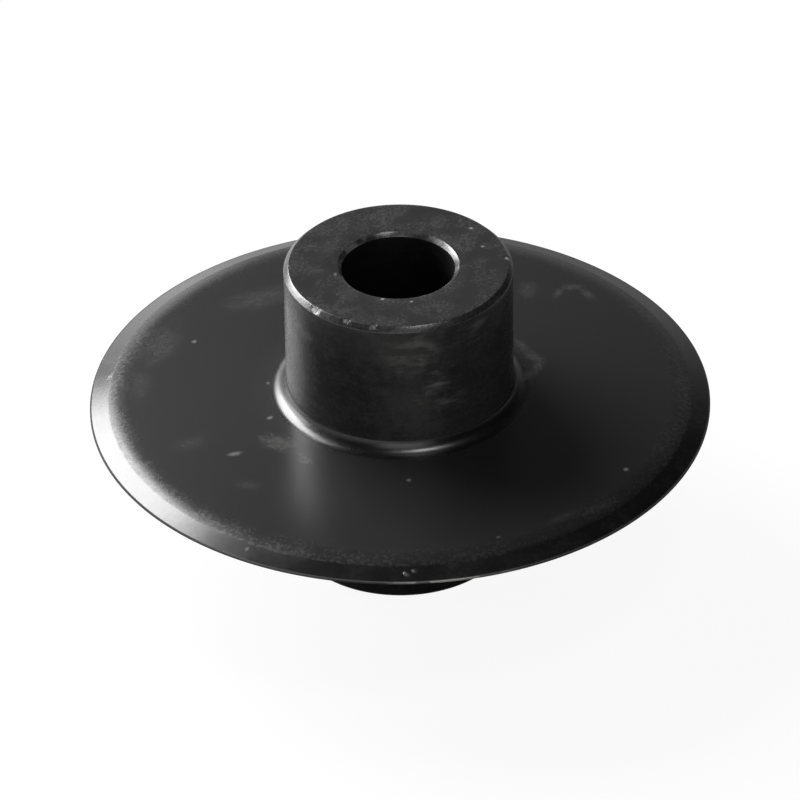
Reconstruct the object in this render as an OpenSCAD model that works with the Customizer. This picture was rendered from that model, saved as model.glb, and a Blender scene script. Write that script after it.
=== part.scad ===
// Pipe cutter wheel: a hardened steel blade between two hub stubs, turned from one bar.
// The wheel spins about Z on a pin through its bore. The cutting edge lies in the plane
// Z = 0, and the wheel is the same above and below that plane.

/* [Cutting edge] */
// Diameter over the cutting edge
edge_d = 53; // [46:0.5:64]
// Width of the flat that grinding leaves on the edge
edge_land = 0.12; // [0.06:0.02:0.3]
// Angle between the two ground bevels
edge_angle = 40; // [36:1:60]
// Width of each bevel, along the radius
bevel_w = 1.6; // [1.2:0.1:2.6]

/* [Shoulder] */
// Width of the rounded shoulder inside each bevel, along the radius
shoulder_w = 1.8; // [0.8:0.1:2.4]
// Angle that the shoulder turns through, from the web to the ridge of the bevel
shoulder_turn = 11; // [5:1:13]

/* [Web] */
// Slope of each web face, falling from the hub to the shoulder
web_taper = 3; // [1:0.25:4]

/* [Hub] */
// Diameter of the hub stubs
hub_d = 19.4; // [17:0.1:22]
// Length over both hub stubs, which is the gap that the wheel fills in its cutter
hub_len = 27.8; // [22:0.1:34]
// Chamfer on the outer rim of each hub end
hub_chamfer = 0.4; // [0.2:0.05:0.8]
// Radius of the fillet between each hub stub and the web
root_fillet = 1.25; // [0.8:0.05:2.5]

/* [Bore] */
// Diameter of the bore, a running fit on the pin
bore_d = 9.6; // [8:0.1:12.8]
// Chamfer on each mouth of the bore
bore_chamfer = 0.35; // [0.2:0.05:0.6]

/* [Hidden] */
$fn = 240;

edge_r = edge_d / 2;
hub_r = hub_d / 2;
hub_top = hub_len / 2;
bore_r = bore_d / 2;

// The ridge, where the bevel meets the shoulder
ridge_r = edge_r - bevel_w;
ridge_z = edge_land / 2 + bevel_w * tan(edge_angle / 2);

// The shoulder is an arc that leaves the web along its slope and ends at the ridge
shoulder_end = web_taper + shoulder_turn;
shoulder_arc = shoulder_w / (sin(shoulder_end) - sin(web_taper));
shoulder_centre = [ridge_r, ridge_z] - shoulder_arc * [sin(shoulder_end), cos(shoulder_end)];
shoulder_r = ridge_r - shoulder_w;
shoulder_z = shoulder_centre[1] + shoulder_arc * cos(web_taper);

// Height of the web's upper face above the cutting plane, at radius r
function web_z(r) = shoulder_z + (shoulder_r - r) * tan(web_taper);

// The root fillet is an arc that touches the hub wall and the web face
fillet_r = hub_r + root_fillet;
fillet_z = web_z(fillet_r) + root_fillet / cos(web_taper);

// Half section of both hub stubs, with the chamfers of the rims and of the bore's mouths
module hub_section() {
    rim_z = hub_top - hub_chamfer;
    mouth_z = hub_top - bore_chamfer;
    polygon([
        [bore_r, -mouth_z],
        [bore_r + bore_chamfer, -hub_top],
        [hub_r - hub_chamfer, -hub_top],
        [hub_r, -rim_z],
        [hub_r, rim_z],
        [hub_r - hub_chamfer, hub_top],
        [bore_r + bore_chamfer, hub_top],
        [bore_r, mouth_z],
    ]);
}

// Upper half of the blade's section, from inside the hub wall out to the edge. The web
// runs straight on to the ridge's radius, and a square block fills the root.
module blade_blank() {
    inner_r = (bore_r + hub_r) / 2;
    polygon([
        [inner_r, 0],
        [edge_r, 0],
        [edge_r, edge_land / 2],
        [ridge_r, ridge_z],
        [ridge_r, web_z(ridge_r)],
        [fillet_r - root_fillet * sin(web_taper), web_z(fillet_r - root_fillet * sin(web_taper))],
        [fillet_r, fillet_z],
        [inner_r, fillet_z],
    ]);
}

// What the shoulder's arc takes off the blank
module shoulder_cut() {
    difference() {
        translate([shoulder_r, 0]) square([shoulder_w, 2 * shoulder_z]);
        translate(shoulder_centre) circle(shoulder_arc);
    }
}

module blade_section() {
    difference() {
        blade_blank();
        translate([fillet_r, fillet_z]) circle(root_fillet);
        shoulder_cut();
    }
}

module cutter_wheel() {
    color("#2b2b2d")
        rotate_extrude() {
            hub_section();
            blade_section();
            mirror([0, 1]) blade_section();
        }
}

cutter_wheel();
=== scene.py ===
import math

import bpy
from mathutils import Matrix, Vector


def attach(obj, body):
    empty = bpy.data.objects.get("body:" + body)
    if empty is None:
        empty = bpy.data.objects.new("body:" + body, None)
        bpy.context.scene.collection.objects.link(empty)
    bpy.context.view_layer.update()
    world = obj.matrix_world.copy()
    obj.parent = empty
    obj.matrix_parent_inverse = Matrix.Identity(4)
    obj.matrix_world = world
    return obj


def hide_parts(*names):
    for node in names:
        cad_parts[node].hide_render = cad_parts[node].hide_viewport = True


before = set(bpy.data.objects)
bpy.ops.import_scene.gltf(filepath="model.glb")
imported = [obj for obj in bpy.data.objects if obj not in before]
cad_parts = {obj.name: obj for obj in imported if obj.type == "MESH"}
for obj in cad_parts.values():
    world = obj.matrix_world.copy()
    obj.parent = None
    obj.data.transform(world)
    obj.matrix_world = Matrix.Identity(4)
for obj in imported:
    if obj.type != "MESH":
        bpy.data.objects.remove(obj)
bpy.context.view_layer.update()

# The room: a studio that is pale near the horizon and goes dark overhead, to the right and
# in front. The camera sees plain white, and polished steel sees the room.
ROOM_LOW = 0.5
ROOM_HIGH = 0.012
ROOM_RISE = (0.0, 0.62)
ROOM_RIGHT = 0.05
ROOM_TO_RIGHT = (0.2, 0.7)
ROOM_FRONT = 0.8
ROOM_TO_BACK = (-0.4, 0.2)
ROOM_FILL = 0.2


def put(tree, kind, inputs=(), **settings):
    """Adds a shader node. Each input is given a value, or linked if it is given a socket."""
    made = tree.nodes.new("ShaderNode" + kind)
    for name, value in settings.items():
        setattr(made, name, value)
    for socket, value in dict(inputs).items():
        if isinstance(value, bpy.types.NodeSocket):
            tree.links.new(value, made.inputs[socket])
        else:
            made.inputs[socket].default_value = value
    return made


def maths(tree, operation, first, *others):
    """One operation on several numbers or sockets, taken in turn."""
    result = first
    for other in others:
        result = put(tree, "Math", {0: result, 1: other}, operation=operation).outputs[0]
    return result


def times(tree, *values):
    """The product of several numbers or sockets."""
    return maths(tree, "MULTIPLY", *values)


def add(tree, *values):
    """The sum of several numbers or sockets."""
    return maths(tree, "ADD", *values)


def ramp(tree, value, start, end, low=0.0, high=1.0):
    """A soft step from low to high as a value goes from start to end."""
    step = put(tree, "MapRange", {
        "Value": value, "From Min": start, "From Max": end, "To Min": low, "To Max": high,
    }, interpolation_type="SMOOTHSTEP")
    return step.outputs["Result"]


def ray_kinds(tree):
    """Whether a ray comes from the camera, and whether it was mirrored or went through."""
    ray = put(tree, "LightPath").outputs
    mirrored = maths(tree, "MAXIMUM", ray["Is Glossy Ray"], ray["Is Transmission Ray"])
    return ray["Is Camera Ray"], mirrored


world = bpy.data.worlds.new("room")
bpy.context.scene.world = world
world.use_nodes = True
tree = world.node_tree
tree.nodes.clear()
towards = put(tree, "SeparateXYZ", {0: put(tree, "TexCoord").outputs["Generated"]})
upward = ramp(tree, towards.outputs["Z"], *ROOM_RISE, ROOM_LOW, ROOM_HIGH)
sideways = ramp(tree, towards.outputs["X"], *ROOM_TO_RIGHT, 1.0, ROOM_RIGHT)
forward = ramp(tree, towards.outputs["Y"], *ROOM_TO_BACK, ROOM_FRONT, 1.0)
seen, mirrored = ray_kinds(tree)
glow = times(tree, upward, sideways, forward, maths(tree, "MAXIMUM", mirrored, ROOM_FILL))
hidden = maths(tree, "SUBTRACT", 1.0, seen)
strength = add(tree, seen, times(tree, hidden, glow))
background = put(tree, "Background", {"Strength": strength})
put(tree, "OutputWorld", {"Surface": background.outputs[0]})

bpy.context.scene.view_settings.view_transform = "Standard"


# The floor: a white sheet that the wheel stands on. It keeps a faint shadow close to the wheel
# and runs out to plain white. What steel sees in it is a painted glow, brightest behind and to
# the left, with a painted shadow under the wheel.
MM = 0.001
FLOOR_Z = -13.92 * MM
FLOOR_WIDTH = 12.0
FLOOR_COLOUR = 0.12
FLOOR_ROUGHNESS = 0.9
FLOOR_SPECULAR = 0.1
FLOOR_SEEN = 0.92
FLOOR_MIRRORED = 0.8
FLOOR_RIGHT = 0.25
FLOOR_TO_RIGHT = (-30 * MM, 20 * MM)
FLOOR_FRONT = 0.6
FLOOR_TO_BACK = (-60 * MM, 10 * MM)
# The painted shadow under the wheel, in the glow that steel sees.
FLOOR_PAINTED_SHADOW = 0.06
FLOOR_TO_OUT_OF_PAINTED_SHADOW = (24 * MM, 46 * MM)
FLOOR_TO_PLAIN = (40 * MM, 110 * MM)

bpy.ops.object.select_all(action="DESELECT")
bpy.ops.mesh.primitive_plane_add(size=FLOOR_WIDTH, location=(0, 0, FLOOR_Z))
floor = bpy.context.object
floor.name = "floor"
bpy.ops.object.transform_apply(location=True, rotation=True, scale=True)
sheet = bpy.data.materials.new("white_sheet")
sheet.use_nodes = True
tree = sheet.node_tree
tree.nodes.clear()
place = put(tree, "TexCoord").outputs["Object"]
place_xyz = put(tree, "SeparateXYZ", {0: place})
away = put(tree, "VectorMath", {0: place}, operation="LENGTH").outputs["Value"]
seen, mirrored = ray_kinds(tree)
to_right = ramp(tree, place_xyz.outputs["X"], *FLOOR_TO_RIGHT, 1.0, FLOOR_RIGHT)
to_front = ramp(tree, place_xyz.outputs["Y"], *FLOOR_TO_BACK, FLOOR_FRONT, 1.0)
# Painted shadow: the glow that steel sees in the floor is dimmed under the wheel.
out_of_painted_shadow = ramp(tree, away, *FLOOR_TO_OUT_OF_PAINTED_SHADOW, FLOOR_PAINTED_SHADOW, FLOOR_MIRRORED)
pale = times(tree, to_right, to_front, out_of_painted_shadow)
paper = put(tree, "BsdfPrincipled", {
    "Base Color": (FLOOR_COLOUR, FLOOR_COLOUR, FLOOR_COLOUR, 1),
    "Roughness": FLOOR_ROUGHNESS,
    "Specular IOR Level": FLOOR_SPECULAR,
    "Emission Color": (1, 1, 1, 1),
    "Emission Strength": add(tree, times(tree, seen, FLOOR_SEEN), times(tree, mirrored, pale)),
})
plain = put(tree, "Emission", {"Strength": 1.0})
beyond = times(tree, seen, ramp(tree, away, *FLOOR_TO_PLAIN))
blend = put(tree, "MixShader", {0: beyond, 1: paper.outputs[0], 2: plain.outputs[0]})
put(tree, "OutputMaterial", {"Surface": blend.outputs[0]})
floor.data.materials.append(sheet)


# The lights: a large round softbox behind and to the left, which draws the bright
# crescents, with two weaker ones beside it. In front are a small one high up and a broad,
# weak one behind the camera.
LAMP_DISTANCE = 0.6
WATTS_PER_SQUARE_METRE = 4


def softbox(name, azimuth, elevation, width, tall, brightness, shape="RECTANGLE"):
    """A softbox that faces the wheel. Azimuth 0 is behind it and 90 to its left, and a
    brightness of 1 is a white face."""
    a, e = math.radians(azimuth), math.radians(elevation)
    direction = Vector((-math.sin(a) * math.cos(e), math.cos(a) * math.cos(e), math.sin(e)))
    data = bpy.data.lights.new(name, "AREA")
    data.shape = shape
    data.size = width
    data.size_y = tall
    area = width * tall * (math.pi / 4 if shape == "ELLIPSE" else 1)
    data.energy = WATTS_PER_SQUARE_METRE * brightness * area
    lamp = bpy.data.objects.new(name, data)
    bpy.context.scene.collection.objects.link(lamp)
    lamp.location = direction * LAMP_DISTANCE
    lamp.rotation_mode = "QUATERNION"
    lamp.rotation_quaternion = direction.to_track_quat("Z", "Y")
    lamp.visible_camera = False


softbox("softbox_left", 46, 35.5, 0.425, 0.425, 6.4, "ELLIPSE")
softbox("softbox_low", 64, 18, 0.44, 0.36, 2.5, "ELLIPSE")
softbox("softbox_strip", 16, 11, 0.14, 0.26, 0.8)
softbox("softbox_front", 215, 68, 0.14, 0.14, 6)
softbox("softbox_near", 183, 30, 0.40, 0.40, 0.45)


# The camera: the photograph's angle, from a little over half a metre, with the wheel's
# axis leaning slightly to the left.
CAMERA_ELEVATION = math.radians(34.8)
CAMERA_ROLL = math.radians(0.79)
CAMERA_DISTANCE = 583 * MM
SENSOR_WIDTH = 36
WHEEL_WIDTH = 53 * MM
WHEEL_SHARE = 620 / 800
NEAREST_SEEN = 0.05
FARTHEST_SEEN = 20

camera_data = bpy.data.cameras.new("camera")
camera = bpy.data.objects.new("camera", camera_data)
bpy.context.scene.collection.objects.link(camera)
bpy.context.scene.camera = camera
camera.location = (
    0,
    -CAMERA_DISTANCE * math.cos(CAMERA_ELEVATION),
    CAMERA_DISTANCE * math.sin(CAMERA_ELEVATION),
)
tilt = Matrix.Rotation(math.pi / 2 - CAMERA_ELEVATION, 3, "X")
roll = Matrix.Rotation(-CAMERA_ROLL, 3, "Z")
camera.rotation_euler = (tilt @ roll).to_euler()
camera_data.sensor_width = SENSOR_WIDTH
camera_data.lens = SENSOR_WIDTH * CAMERA_DISTANCE * WHEEL_SHARE / WHEEL_WIDTH
camera_data.clip_start = NEAREST_SEEN
camera_data.clip_end = FARTHEST_SEEN


# The wheel: one piece of tool steel, turned all over from the bar, hardened and
# blackened. Its two bevels are ground to the cutting edge. Sizes are in millimetres.
EDGE_R = 26.5
EDGE_LAND = 0.12
EDGE_ANGLE = 40
BEVEL_W = 1.6
SHOULDER_W = 1.8
SHOULDER_TURN = 11
SHOULDER_STEPS = 9
WEB_TAPER = 3
HUB_R = 9.7
HUB_TOP = 13.9
HUB_CHAMFER = 0.4
ROOT_FILLET = 1.25
BORE_R = 4.8
BORE_CHAMFER = 0.35
BORE_ROUND = 0.06
MOUTH_ROUND = 0.08
RIM_ROUND = 0.12
RIDGE_ROUND = 0.5
RIM_RING = 0.9
LOWEST_WALL_RING = 2.9
AROUND = 640

slope = math.tan(math.radians(WEB_TAPER))
ridge_r = EDGE_R - BEVEL_W
ridge_z = EDGE_LAND / 2 + BEVEL_W * math.tan(math.radians(EDGE_ANGLE / 2))
shoulder_start = math.radians(WEB_TAPER)
shoulder_end = math.radians(WEB_TAPER + SHOULDER_TURN)
shoulder_arc = SHOULDER_W / (math.sin(shoulder_end) - math.sin(shoulder_start))
shoulder_r = ridge_r - SHOULDER_W
shoulder_z = ridge_z + shoulder_arc * (math.cos(shoulder_start) - math.cos(shoulder_end))


def web_z(r):
    """Height of the web's upper face at radius r."""
    return shoulder_z + (shoulder_r - r) * slope


def corner(before, at, after, radius, steps):
    """The arc that rounds the corner at a point of the section."""
    at, before, after = Vector(at), Vector(before), Vector(after)
    a, b = (before - at).normalized(), (after - at).normalized()
    half = a.angle(b) / 2
    reach = radius / math.tan(half)
    centre = at + (a + b).normalized() * radius / math.sin(half)
    start, end = at + a * reach - centre, at + b * reach - centre
    sweep = start.angle(end)
    side = 1 if start.x * end.y - start.y * end.x > 0 else -1
    points = []
    for i in range(steps + 1):
        t = side * sweep * i / steps
        points.append((
            centre.x + start.x * math.cos(t) - start.y * math.sin(t),
            centre.y + start.x * math.sin(t) + start.y * math.cos(t),
        ))
    return points


def between(start, end, steps):
    """Points strictly between two points of the section."""
    return [
        (start[0] + (end[0] - start[0]) * i / steps, start[1] + (end[1] - start[1]) * i / steps)
        for i in range(1, steps)
    ]


middle = (BORE_R, 0.0)
mouth = (BORE_R, HUB_TOP - BORE_CHAMFER)
inner_rim = (BORE_R + BORE_CHAMFER, HUB_TOP)
end_ring = (HUB_R - RIM_RING, HUB_TOP)
outer_rim = (HUB_R - HUB_CHAMFER, HUB_TOP)
wall_top = (HUB_R, HUB_TOP - HUB_CHAMFER)
wall_ring = (HUB_R, HUB_TOP - RIM_RING)
root = (HUB_R, web_z(HUB_R))
web_start = (HUB_R + ROOT_FILLET, web_z(HUB_R + ROOT_FILLET))
web_end = (shoulder_r, shoulder_z)
ridge = (ridge_r, ridge_z)
edge = (EDGE_R, EDGE_LAND / 2)
shoulder = []
for i in range(SHOULDER_STEPS):
    t = shoulder_start + (shoulder_end - shoulder_start) * i / SHOULDER_STEPS
    shoulder.append((
        shoulder_r + shoulder_arc * (math.sin(t) - math.sin(shoulder_start)),
        shoulder_z - shoulder_arc * (math.cos(shoulder_start) - math.cos(t)),
    ))

section = [middle]
section += between(middle, mouth, steps=3)
section += corner(middle, mouth, inner_rim, BORE_ROUND, steps=2)
section += corner(mouth, inner_rim, outer_rim, MOUTH_ROUND, steps=3)
section += between(inner_rim, end_ring, steps=3)
section += [end_ring]
section += corner(inner_rim, outer_rim, wall_top, RIM_ROUND, steps=4)
section += corner(outer_rim, wall_top, root, RIM_ROUND, steps=4)
section += [wall_ring]
section += between(wall_ring, (HUB_R, LOWEST_WALL_RING), steps=3)
section += corner(wall_top, root, web_end, ROOT_FILLET, steps=14)
section += between(web_start, web_end, steps=5)
section += shoulder
section += corner(shoulder[-1], ridge, edge, RIDGE_ROUND, steps=2)
section += between(ridge, edge, steps=6)
section += [edge]
section += [(r, -z) for r, z in reversed(section[1:])]

bpy.ops.object.select_all(action="DESELECT")
bpy.ops.mesh.primitive_plane_add(size=1 * MM, location=(BORE_R * MM, 0, 0))
wheel = bpy.context.object
wheel.name = "cutter_wheel_turned"
bpy.ops.object.mode_set(mode="EDIT")
bpy.ops.mesh.select_mode(type="VERT")
bpy.ops.mesh.select_all(action="SELECT")
bpy.ops.mesh.merge(type="CENTER")
for (r0, z0), (r1, z1) in zip(section, section[1:]):
    step = ((r1 - r0) * MM, 0, (z1 - z0) * MM)
    bpy.ops.mesh.extrude_region_move(TRANSFORM_OT_translate={"value": step})
bpy.ops.mesh.select_all(action="SELECT")
bpy.ops.mesh.spin(steps=AROUND, angle=2 * math.pi, center=(0, 0, 0), axis=(0, 0, 1))
bpy.ops.mesh.select_all(action="SELECT")
bpy.ops.mesh.remove_doubles(threshold=0.001 * MM)
bpy.ops.mesh.select_all(action="DESELECT")
bpy.ops.mesh.select_mode(type="EDGE")
bpy.ops.mesh.select_non_manifold()
bpy.ops.mesh.bridge_edge_loops()
bpy.ops.mesh.select_all(action="SELECT")
bpy.ops.mesh.normals_make_consistent(inside=False)
bpy.ops.object.mode_set(mode="OBJECT")
bpy.ops.object.transform_apply(location=True, rotation=True, scale=True)

# Knocks: where the wheel has hit another tool. Each has its place, its reach and its depth,
# and is pressed in at three points, so that its outline is uneven. A point has its offset,
# its share of the reach and its share of the depth. The faces under a knock, and a little
# past it, are cut finer first.
KNOCKS = [
    ((-7.12, -6.45, 13.78), 0.40, 0.06),
    ((-4.50, -8.28, 13.80), 0.28, 0.05),
    ((-2.13, -9.24, 13.80), 0.32, 0.06),
    ((9.30, 0.80, 13.84), 0.28, 0.03),
    ((0.29, -25.66, 0.36), 0.26, 0.05),
    ((0.90, -25.39, 0.46), 0.20, 0.04),
]
KNOCK_POINTS = [((0, 0), 1.0, 1.0), ((0.7, 0.35), 0.6, 0.7), ((-0.75, 0.2), 0.5, 0.8)]
KNOCK_FINE = 1.5
SMOOTH_UNDER = math.radians(30)

for place, reach, depth in KNOCKS:
    spot = Vector(place) * MM
    bpy.ops.object.mode_set(mode="EDIT")
    bpy.ops.mesh.select_mode(type="FACE")
    bpy.ops.mesh.select_all(action="DESELECT")
    bpy.ops.object.mode_set(mode="OBJECT")
    for face in wheel.data.polygons:
        face.select = (face.center - spot).length < reach * KNOCK_FINE * MM
    bpy.ops.object.mode_set(mode="EDIT")
    bpy.ops.mesh.subdivide(number_cuts=2)
    across = Vector((-spot.y, spot.x, 0)).normalized()
    out = spot.normalized()
    for (side, forth), reach_share, depth_share in KNOCK_POINTS:
        point = spot + (across * side + out * forth) * reach * MM
        bpy.ops.mesh.select_mode(type="VERT")
        bpy.ops.mesh.select_all(action="DESELECT")
        bpy.ops.object.mode_set(mode="OBJECT")
        nearest = min(wheel.data.vertices, key=lambda v: (v.co - point).length_squared)
        nearest.select = True
        inward = -nearest.normal * depth * depth_share * MM
        bpy.ops.object.mode_set(mode="EDIT")
        bpy.ops.transform.translate(
            value=inward, use_proportional_edit=True, proportional_edit_falloff="SPHERE",
            proportional_size=reach * reach_share * MM,
        )
    bpy.ops.object.mode_set(mode="OBJECT")
bpy.ops.object.shade_smooth_by_angle(angle=SMOOTH_UNDER)


def new_group(name, inputs, outputs):
    """An empty shader group with a Vector input, number inputs, and the outputs named."""
    made = bpy.data.node_groups.new(name, "ShaderNodeTree")
    made.interface.new_socket("Vector", in_out="INPUT", socket_type="NodeSocketVector")
    for label, value in inputs.items():
        socket = made.interface.new_socket(label, in_out="INPUT", socket_type="NodeSocketFloat")
        socket.default_value = value
    for label in outputs:
        made.interface.new_socket(label, in_out="OUTPUT", socket_type="NodeSocketFloat")
    return made, made.nodes.new("NodeGroupInput"), made.nodes.new("NodeGroupOutput")


def flattened(tree, spot):
    """A place with its height taken away."""
    xyz = put(tree, "SeparateXYZ", {0: spot}).outputs
    return put(tree, "CombineXYZ", {"X": xyz["X"], "Y": xyz["Y"]}).outputs[0]


def from_axis(tree, spot):
    """Distance from the wheel's axis."""
    flat = flattened(tree, spot)
    return put(tree, "VectorMath", {0: flat}, operation="LENGTH").outputs["Value"]


def eased(tree, mask, low, high=1.0):
    """A mask made to run from low to high instead of from 0 to 1."""
    return ramp(tree, mask, 0.0, 1.0, low, high)


# Tool lines: what the lathe and the grinding wheel leave. They run round the axis, break
# off after a while, and are as fine on a face as on a wall.
tool_lines, given, gives = new_group("tool_lines", {"Per Metre": 9000, "Breaks": 5}, ["Height"])
spot, per_metre, breaks = (given.outputs[label] for label in ("Vector", "Per Metre", "Breaks"))
height = put(tool_lines, "SeparateXYZ", {0: spot}).outputs["Z"]
round_it = put(tool_lines, "VectorMath", {0: flattened(tool_lines, spot)}, operation="NORMALIZE")
round_xy = put(tool_lines, "SeparateXYZ", {0: round_it.outputs["Vector"]}).outputs
across = put(tool_lines, "CombineXYZ", {
    "X": times(tool_lines, from_axis(tool_lines, spot), per_metre),
    "Y": times(tool_lines, height, per_metre),
    "Z": times(tool_lines, round_xy["X"], breaks),
})
lines = put(tool_lines, "TexNoise", {
    "Vector": across.outputs[0],
    "W": times(tool_lines, round_xy["Y"], breaks),
    "Scale": 1.0, "Detail": 2.0, "Roughness": 0.6,
}, noise_dimensions="4D")
tool_lines.links.new(lines.outputs["Fac"], gives.inputs["Height"])

# Grain: the fine tooth of blackened steel, from -0.5 to 0.5. It comes and goes in patches.
GRAIN_PATCHES = (0.38, 0.62)
GRAIN_FLECKS = (0.42, 0.66)
CALM_TOOTH = 0.4
grain, given, gives = new_group(
    "grain", {"Per Metre": 2600, "Patches": 350}, ["Height", "Fleck", "Patch"]
)
fine = put(grain, "TexNoise", {
    "Vector": given.outputs["Vector"], "Scale": given.outputs["Per Metre"],
    "Detail": 1.5, "Roughness": 0.6,
})
broad = put(grain, "TexNoise", {
    "Vector": given.outputs["Vector"], "Scale": given.outputs["Patches"],
    "Detail": 3.0, "Roughness": 0.6,
})
patch = ramp(grain, broad.outputs["Fac"], *GRAIN_PATCHES)
rise = maths(grain, "SUBTRACT", fine.outputs["Fac"], 0.5)
tooth = times(grain, rise, eased(grain, patch, CALM_TOOTH))
grain.links.new(tooth, gives.inputs["Height"])
grain.links.new(ramp(grain, fine.outputs["Fac"], *GRAIN_FLECKS), gives.inputs["Fleck"])
grain.links.new(patch, gives.inputs["Patch"])

# Mark: a soft spot at a place of its own, with an uneven outline, for a smear of dust, a speck,
# a scuff or a patch of painted light. Its size is in metres and its turn in radians.
OUTLINE_SWING = 4.0
OUTLINE_TO_FULL = (1.0, 0.1)
mark, given, gives = new_group(
    "mark",
    {"X": 0, "Y": 0, "Z": 0, "Length": 0.001, "Width": 0.001, "Turn": 0, "Uneven": 0.5},
    ["Mask"],
)
centre = put(mark, "CombineXYZ", {axis: given.outputs[axis] for axis in "XYZ"})
size = put(mark, "CombineXYZ", {
    "X": given.outputs["Length"], "Y": given.outputs["Width"], "Z": given.outputs["Length"],
})
turn = put(mark, "CombineXYZ", {"Z": given.outputs["Turn"]})
moved = put(mark, "Mapping", {
    "Vector": given.outputs["Vector"], "Location": centre.outputs[0],
    "Rotation": turn.outputs[0], "Scale": size.outputs[0],
}, vector_type="TEXTURE")
off = put(mark, "VectorMath", {0: moved.outputs[0]}, operation="LENGTH")
wander = put(mark, "TexNoise", {
    "Vector": moved.outputs[0], "Scale": 2.4, "Detail": 4.0, "Roughness": 0.75,
})
swing = maths(mark, "SUBTRACT", wander.outputs["Fac"], 0.5)
shift = times(mark, swing, given.outputs["Uneven"], OUTLINE_SWING)
swung = add(mark, off.outputs["Value"], shift)
mark.links.new(ramp(mark, swung, *OUTLINE_TO_FULL), gives.inputs["Mask"])


def use(tree, group, vector, **values):
    """Places a group in a material, with its own values."""
    made = tree.nodes.new("ShaderNodeGroup")
    made.node_tree = group
    tree.links.new(vector, made.inputs["Vector"])
    for name, value in values.items():
        made.inputs[name.replace("_", " ")].default_value = value
    return made


def marks(tree, here, places, uneven):
    """The masks of several marks, the strongest at each point. A mark has its place, its
    length and width, its turn in degrees and its strength."""
    masks = []
    for (x, y, z), length, width, degrees, strength in places:
        one = use(
            tree, mark, here, X=x * MM, Y=y * MM, Z=z * MM, Length=length * MM, Width=width * MM,
            Turn=math.radians(degrees), Uneven=uneven,
        )
        masks.append(times(tree, one.outputs["Mask"], strength))
    return maths(tree, "MAXIMUM", *masks)


def blackened(name, ior):
    """A material of black oxide on steel: its nodes, its shader and the place on the wheel."""
    made = bpy.data.materials.new(name)
    made.use_nodes = True
    shader = made.node_tree.nodes["Principled BSDF"]
    shader.inputs["IOR"].default_value = ior
    wheel.data.materials.append(made)
    return made.node_tree, shader, put(made.node_tree, "TexCoord").outputs["Object"]


def mixed(tree, share, first, second):
    """A colour between two, by a share that changes over the surface."""
    mix = put(tree, "Mix", {"Factor": share}, data_type="RGBA")
    for socket, colour in ((mix.inputs[6], first), (mix.inputs[7], second)):
        if isinstance(colour, bpy.types.NodeSocket):
            tree.links.new(colour, socket)
        else:
            socket.default_value = colour
    return mix.outputs[2]


def bumped(tree, *layers):
    """The normal that several layers of height give, each with its depth in metres."""
    normal = None
    for height, depth in layers:
        bump = put(tree, "Bump", {"Height": height, "Distance": depth})
        if normal is not None:
            tree.links.new(normal, bump.inputs["Normal"])
        normal = bump.outputs[0]
    return normal


def connect(tree, shader, links):
    """Links values to the shader's inputs."""
    for socket, value in links.items():
        tree.links.new(value, shader.inputs[socket])


# The blade's finish: web, root fillets, shoulders and bevels. The web is smooth. The
# shoulder and bevel are coarser from grinding, and the very edge is dull, apart from a
# short stretch in front where use has bared the steel.
UM = 0.001 * MM
BLACK = (0.023, 0.023, 0.0234, 1)
GROUND_BLACK = (0.008, 0.008, 0.0082, 1)
DEEP_BLACK = (0.004, 0.004, 0.004, 1)
DUST_AND_PAINTED_LIGHT_COLOUR = (0.32, 0.32, 0.31, 1)
BARE = (0.62, 0.61, 0.60, 1)
OXIDE_IOR = 2.0
GROUND = ((shoulder_r - 0.5) * MM, (ridge_r - 0.6) * MM)
BEVEL = ((ridge_r - 0.5) * MM, (ridge_r + 0.1) * MM)
ROOT_END = ((HUB_R + ROOT_FILLET + 0.2) * MM, (HUB_R + ROOT_FILLET - 0.1) * MM)
DULL_EDGE = ((EDGE_R - 0.17) * MM, (EDGE_R - 0.102) * MM)
LAND = ((EDGE_R - 0.11) * MM, (EDGE_R - 0.05) * MM)
RIDGE_LINE_R = (ridge_r - 0.08) * MM
RIDGE_LINE = (0.2 * MM, 0.06 * MM)
WEB_ROUGHNESS = 0.265
GROUND_ROUGHNESS = 0.22
FLECK_ROUGHNESS = 0.06
PATCH_ROUGHNESS = 0.03
DULL_ROUGHNESS = 0.6
RIDGE_ROUGHNESS = 0.065
BEVEL_SPECKLE = 0.3
WEB_TOOTH = 0.2
RIDGE_LEAST = 0.4
SMEAR_AND_REFLECTION_LEAST = 0.6
SMEAR_AND_REFLECTION_SHARE = 0.32
GRIT_SHARE = 0.025
BARED_PATCHES = (0.1, 0.5)
BARED_LEAST = 0.2
# Pale specks: dust, and on the knocks at the edge painted glints of bared steel.
SPECKS_AND_GLINTS = [
    ((-17.70, 7.66, 1.20), 0.32, 0.30, 0, 0.9),
    ((-11.24, 0.58, 1.53), 0.26, 0.24, 0, 0.7),
    ((-11.03, -4.52, 1.49), 0.42, 0.26, 30, 0.9),
    ((-13.98, -9.39, 1.24), 0.85, 0.36, 10, 0.7),
    ((18.90, -12.02, 0.95), 0.32, 0.32, 0, 0.9),
    ((0.64, -13.79, 1.40), 0.30, 0.30, 0, 0.5),
    ((7.99, -21.40, 0.93), 0.30, 0.22, 0, 0.25),
    # On a knock in the bevel: painted glints.
    ((-24.87, 3.25, 0.65), 0.42, 0.30, 60, 1.0),
    ((-24.72, 3.62, 0.67), 0.30, 0.18, 20, 0.7),
    ((-12.83, -21.94, 0.45), 0.30, 0.20, 35, 0.7),
    # On the knocks at the edge: painted glints.
    ((0.29, -25.66, 0.36), 0.30, 0.22, 0, 0.5),
    ((0.90, -25.39, 0.46), 0.24, 0.18, 0, 0.5),
]
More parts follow.
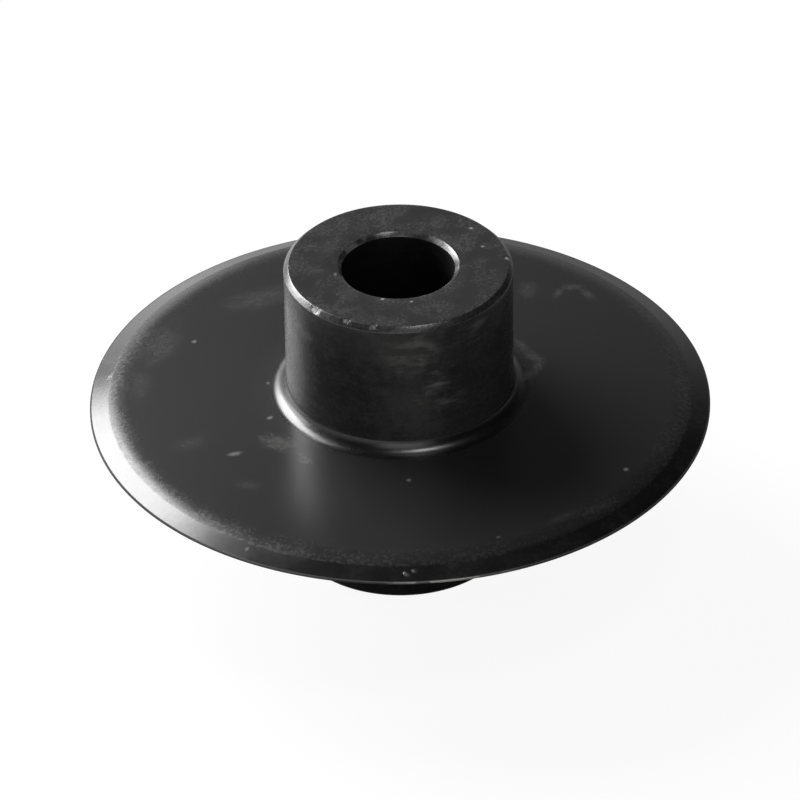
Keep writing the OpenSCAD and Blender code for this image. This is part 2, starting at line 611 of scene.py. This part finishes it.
# Pale smears of dust. Four of them, beside the right of the hub's foot, are a painted
# reflection.
SMEARS_AND_REFLECTIONS = [
    ((-10.40, -8.10, 1.46), 2.6, 1.3, -35, 1.0),
    ((-8.10, -10.60, 1.44), 1.4, 0.8, -70, 0.7),
    ((-12.86, -13.80, 1.13), 1.6, 0.7, -10, 0.35),
    ((-17.80, -7.60, 1.11), 2.2, 1.2, 20, 0.35),
    ((-12.00, 14.20, 1.15), 4.6, 2.0, 20, 0.45),
    ((-20.60, 7.40, 1.03), 4.4, 2.0, 70, 0.50),
    ((-22.20, 1.50, 0.96), 3.4, 1.2, 86, 0.40),
    ((11.31, 14.88, 1.15), 1.2, 1.8, 0, 0.40),
    ((13.90, 14.50, 1.06), 1.3, 0.5, 65, 0.55),
    ((15.20, 15.50, 0.98), 1.4, 0.6, 5, 0.55),
    ((16.50, 14.30, 0.98), 1.4, 0.6, -60, 0.55),
    # These four trace a painted reflection beside the right of the hub's foot.
    ((10.60, 5.70, 1.49), 1.7, 0.60, -65, 0.5),
    ((11.60, 4.00, 1.48), 1.6, 0.75, -50, 0.7),
    ((11.80, 2.60, 1.48), 1.5, 0.60, 75, 0.7),
    ((11.00, 1.20, 1.52), 1.5, 0.60, 50, 0.6),
    ((16.34, -17.24, 0.81), 2.4, 0.6, 35, 0.30),
    ((13.47, -18.67, 0.92), 2.2, 0.6, 30, 0.30),
]
BARED = [((3.6, -26.28, 0.0), 7.5, 4.0, 0, 1.0)]

tree, shader, here = blackened("blackened_blade", OXIDE_IOR)
radius = from_axis(tree, here)
turned = use(tree, tool_lines, here, Per_Metre=9000).outputs["Height"]
bite = use(tree, grain, here).outputs
fleck, patch = bite["Fleck"], bite["Patch"]

# Where the finishes lie: each mask runs from 0 to 1 with the distance from the axis.
ground = ramp(tree, radius, *GROUND)
in_root = ramp(tree, radius, *ROOT_END)
coarse = maths(tree, "MAXIMUM", ground, in_root)
bevelled = maths(tree, "MAXIMUM", ramp(tree, radius, *BEVEL), in_root)
speckled = times(tree, coarse, eased(tree, bevelled, 1.0, BEVEL_SPECKLE))
dull = ramp(tree, radius, *DULL_EDGE)
off_ridge = maths(tree, "SUBTRACT", radius, RIDGE_LINE_R)
off_ridge = put(tree, "Math", {0: off_ridge}, operation="ABSOLUTE").outputs[0]
ridge_line = times(tree, ramp(tree, off_ridge, *RIDGE_LINE), eased(tree, fleck, RIDGE_LEAST))

# Wear, dirt and painted light: the bared stretch of the edge, the smears, the specks and a
# little grit. The smears to the right of the hub's foot are a painted reflection, and the specks
# on the knocks at the edge are painted glints.
bare = times(
    tree, ramp(tree, radius, *LAND), marks(tree, here, BARED, uneven=0.15),
    ramp(tree, patch, *BARED_PATCHES, BARED_LEAST),
)
smear_and_reflection = times(tree, marks(tree, here, SMEARS_AND_REFLECTIONS, uneven=0.5), eased(tree, fleck, SMEAR_AND_REFLECTION_LEAST))
grit = times(tree, ground, fleck, patch)
speck = marks(tree, here, SPECKS_AND_GLINTS, uneven=0.45)
# Dust and grit, with the painted reflection and the painted glints.
dust_and_painted_light = add(tree, speck, times(tree, smear_and_reflection, SMEAR_AND_REFLECTION_SHARE), times(tree, grit, GRIT_SHARE))
shade = mixed(tree, dull, mixed(tree, bevelled, BLACK, GROUND_BLACK), DEEP_BLACK)
rough = add(
    tree, eased(tree, ground, WEB_ROUGHNESS, GROUND_ROUGHNESS),
    times(tree, fleck, speckled, FLECK_ROUGHNESS),
    times(tree, patch, coarse, PATCH_ROUGHNESS),
    times(tree, dull, DULL_ROUGHNESS),
    times(tree, ridge_line, RIDGE_ROUGHNESS),
)
tooth = times(tree, bite["Height"], eased(tree, coarse, WEB_TOOTH))
connect(tree, shader, {
    "Base Color": mixed(tree, bare, mixed(tree, dust_and_painted_light, shade, DUST_AND_PAINTED_LIGHT_COLOUR), BARE),
    "Metallic": bare,
    "Roughness": rough,
    "Normal": bumped(tree, (turned, 0.5 * UM), (tooth, 4 * UM)),
})

# The hub walls: turned, with scuffs and scratches round their front. Over the front is a pale
# patch of painted light, and their black is painted lighter than the blade's, to stand in for
# light on the walls.
# Painted lighter than the blade's black, to stand in for light on the walls.
WALL_BLACK_PAINTED_LIGHTER = (0.050, 0.050, 0.0505, 1)
WALL_IOR = 1.27
SCRATCH_LINES = (0.44, 0.72)
SCRATCH_LEAST = 0.08
SCRATCH_SHARE = 0.75
PAINTED_FRONT_LIGHT_SHARE = 0.26
WALL_GRIT_SHARE = 0.05
WALL_ROUGHNESS = (0.20, 0.27)
WALL_FLECK_ROUGHNESS = 0.07
SCRATCH_ROUGHNESS = 0.1
SCUFFS = [
    ((1.6, -9.6, 11.2), 3.4, 4.0, 0, 0.9),
    ((2.9, -9.3, 8.0), 2.8, 4.0, 0, 1.0),
    ((4.2, -8.8, 5.6), 1.8, 3.0, 0, 0.6),
    ((-1.5, -9.6, 12.9), 3.6, 4.0, 0, 0.5),
    ((6.5, -7.2, 12.4), 2.6, 3.0, 0, 0.5),
    ((-8.5, -5.5, 11.5), 3.0, 3.0, 0, 0.4),
]
# Painted light: pale patches over the front of the walls.
PAINTED_FRONT_LIGHT = [
    ((0.4, -9.6, 11.4), 5.6, 6.0, 0, 1.0),
    ((1.0, -9.6, 6.0), 4.8, 6.0, 0, 0.8),
]

tree, shader, here = blackened("blackened_wall", WALL_IOR)
turned = use(tree, tool_lines, here, Per_Metre=5000, Breaks=7).outputs["Height"]
scratched = use(tree, tool_lines, here, Per_Metre=1300, Breaks=4).outputs["Height"]
bite = use(tree, grain, here, Patches=500).outputs
scuff = eased(tree, marks(tree, here, SCUFFS, uneven=0.4), SCRATCH_LEAST)
scratch = times(tree, ramp(tree, scratched, *SCRATCH_LINES), scuff)
# The walls' paler marks: scratches and grit, with the painted light on the front.
wear_and_painted_light = add(
    tree, times(tree, scratch, SCRATCH_SHARE),
    times(tree, marks(tree, here, PAINTED_FRONT_LIGHT, uneven=0.4), PAINTED_FRONT_LIGHT_SHARE),
    times(tree, bite["Patch"], bite["Fleck"], WALL_GRIT_SHARE),
)
rough = add(
    tree, eased(tree, bite["Patch"], *WALL_ROUGHNESS),
    times(tree, scratch, SCRATCH_ROUGHNESS),
    times(tree, bite["Fleck"], WALL_FLECK_ROUGHNESS),
)
connect(tree, shader, {
    "Base Color": mixed(tree, wear_and_painted_light, WALL_BLACK_PAINTED_LIGHTER, DUST_AND_PAINTED_LIGHT_COLOUR),
    "Roughness": rough,
    "Normal": bumped(tree, (turned, 2 * UM), (bite["Height"], 13 * UM)),
})

# The hub's ends: faced flat and finely speckled. Knocks and wear have taken the black off
# their corners, at the rim and at the mouth of the bore. The pale spots at the knocks in the
# rim are also painted glints of the bared steel.
END_BLACK = (0.038, 0.038, 0.0384, 1)
# A pale for wear, and for the painted glints at the knocks in the rim.
PALE_WEAR_AND_GLINT = (0.70, 0.70, 0.69, 1)
MOUTH_WEAR = ((BORE_R + BORE_CHAMFER + 0.05) * MM, (BORE_R + BORE_CHAMFER - 0.1) * MM)
MOUTH_SHARE = 0.3
END_GRIT_SHARE = 0.08
END_ROUGHNESS = (0.25, 0.28)
# Pale specks: the first four, on the knocks in the rim, are painted glints of bared steel. The
# rest are wear.
END_SPECKS_AND_GLINTS = [
    ((-7.15, -6.48, 13.80), 0.80, 0.55, -38, 1.0),
    ((-4.50, -8.24, 13.85), 0.28, 0.20, -20, 0.8),
    ((-2.13, -9.20, 13.86), 0.34, 0.22, -10, 0.9),
    ((9.25, 0.78, 13.88), 0.32, 0.26, 0, 0.7),
    ((6.25, 5.43, 13.90), 0.30, 0.24, 0, 0.5),
    ((7.17, 2.60, 13.90), 0.24, 0.22, 0, 0.4),
    ((-1.32, -5.18, 13.88), 0.24, 0.20, 0, 0.7),
    ((1.07, -5.60, 13.90), 0.22, 0.18, 0, 0.5),
    ((-5.30, -1.32, 13.90), 0.36, 0.20, 80, 0.3),
    ((-4.06, -3.10, 13.88), 0.22, 0.18, 0, 0.4),
]

tree, shader, here = blackened("blackened_end", OXIDE_IOR)
turned = use(tree, tool_lines, here, Per_Metre=7000, Breaks=4).outputs["Height"]
bite = use(tree, grain, here, Per_Metre=3800, Patches=420).outputs
mouth_wear = ramp(tree, from_axis(tree, here), *MOUTH_WEAR)
wear_and_painted_light = add(
    tree, marks(tree, here, END_SPECKS_AND_GLINTS, uneven=0.3),
    times(tree, mouth_wear, bite["Patch"], MOUTH_SHARE),
    times(tree, bite["Fleck"], bite["Patch"], END_GRIT_SHARE),
)
connect(tree, shader, {
    "Base Color": mixed(tree, wear_and_painted_light, END_BLACK, PALE_WEAR_AND_GLINT),
    "Roughness": eased(tree, bite["Patch"], *END_ROUGHNESS),
    "Normal": bumped(tree, (turned, 1 * UM), (bite["Height"], 14 * UM)),
})

# The bore: reamed smooth, dark with oil.
BORE_IOR = 1.6
BORE_LINES = (0.3, 0.7)
BORE_ROUGHNESS = (0.35, 0.5)

tree, shader, here = blackened("blackened_bore", BORE_IOR)
turned = use(tree, tool_lines, here, Per_Metre=6000, Breaks=4).outputs["Height"]
connect(tree, shader, {
    "Base Color": mixed(tree, turned, DEEP_BLACK, GROUND_BLACK),
    "Roughness": ramp(tree, turned, *BORE_LINES, *BORE_ROUGHNESS),
    "Normal": bumped(tree, (turned, 2 * UM)),
})

# Which face takes which finish. The slack keeps faces that knocks have moved on their own
# finish.
BLADE, WALL, END, BORE = range(4)
BORE_SLACK = 0.01
WALL_SLACK = 0.02
RIM_SLACK = 0.2
CHAMFER_SLACK = 0.05

for face in wheel.data.polygons:
    r = math.hypot(face.center.x, face.center.y) / MM
    z = abs(face.center.z) / MM
    if r < BORE_R + BORE_SLACK:
        face.material_index = BORE
    elif z > HUB_TOP - HUB_CHAMFER - CHAMFER_SLACK and r < HUB_R + RIM_SLACK:
        face.material_index = END
    elif r < HUB_R + WALL_SLACK:
        face.material_index = WALL
    else:
        face.material_index = BLADE
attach(wheel, "root")
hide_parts("cutter_wheel")
